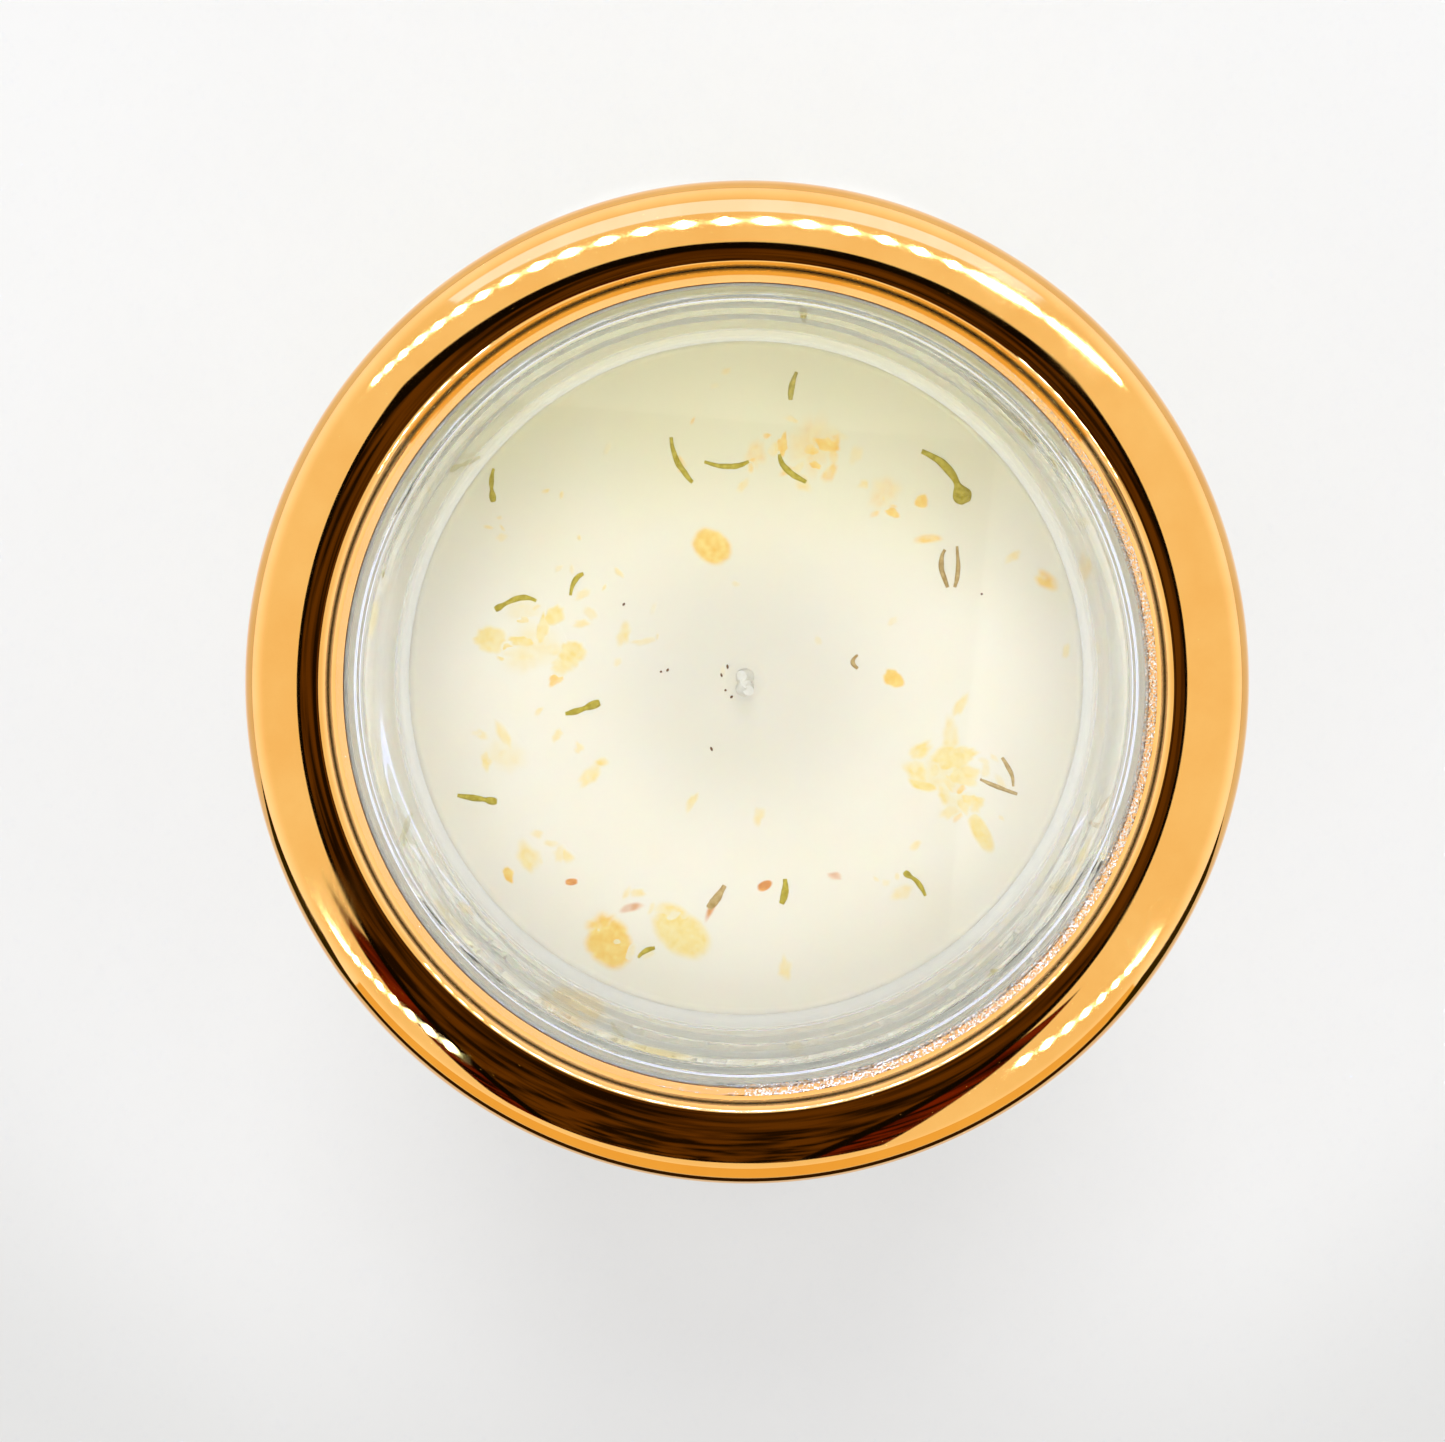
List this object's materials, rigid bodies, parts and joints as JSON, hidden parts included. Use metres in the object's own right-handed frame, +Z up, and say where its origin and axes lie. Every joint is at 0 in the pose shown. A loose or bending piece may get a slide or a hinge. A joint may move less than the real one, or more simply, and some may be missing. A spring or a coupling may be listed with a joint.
{
  "type": "lidded jar candle",
  "caption": "Scented candle in a clear glass jar, with a gold screw lid that has a clear window and dried petals set in the wax.",
  "frame": {"origin": "centre of the jar's foot, on the surface it stands on", "axes": "+Z up along the jar's axis, +Y towards the top of the picture, +X to its right"},
  "size_m": [0.08, 0.08, 0.0823],
  "materials": {
    "jar_glass": "clear moulded glass",
    "cream_wax": "cream soy wax, satin, slightly translucent",
    "cotton_wick": "braided cotton, waxed",
    "tinned_steel": "tinned sheet",
    "sticker_foam": "white foam tape",
    "gold_petal": "dried petal",
    "rust_petal": "dried petal",
    "pale_petal": "dried petal under a film of wax",
    "green_stem": "dried green stem",
    "brown_stem": "dried brown stem",
    "dark_seed": "dark speck",
    "seal_foam": "white foam seal",
    "gold_metal": "bright gold plated sheet",
    "window_plastic": "clear plastic with fine scratches",
    "clear_glue": "clear glue bead that picks up the gold",
    "natural_plastic": "natural moulded plastic"
  },
  "bodies": {
    "jar": {"glass_jar": "jar_glass", "wax_fill": "cream_wax", "wick": "cotton_wick", "wick_tab": "tinned_steel", "tab_sticker": "sticker_foam", "gold_petals": "gold_petal", "rust_petals": "rust_petal", "pale_petals": "pale_petal", "green_stems": "green_stem", "brown_stems": "brown_stem", "seed_specks": "dark_seed"},
    "seal": {"seal_ring": "seal_foam"},
    "lid": {"lid_shell": "gold_metal", "lid_window": "window_plastic", "window_glue_bead": "clear_glue", "thread_ring": "natural_plastic"}
  },
  "joints": [
    {"name": "lid_lift", "type": "slide", "parent": "jar", "child": "seal", "axis": [0, 0, 1], "range_m": [0, 0.0184]},
    {"name": "lid_turn", "type": "hinge", "parent": "seal", "child": "lid", "pos_m": [0, 0, 0.078], "axis": [0, 0, 1], "range_deg": [0, 1296]}
  ],
  "couplings": [
    {"joint": "lid_lift", "follows": "lid_turn", "m_per_rad": 0.00080851}
  ]
}
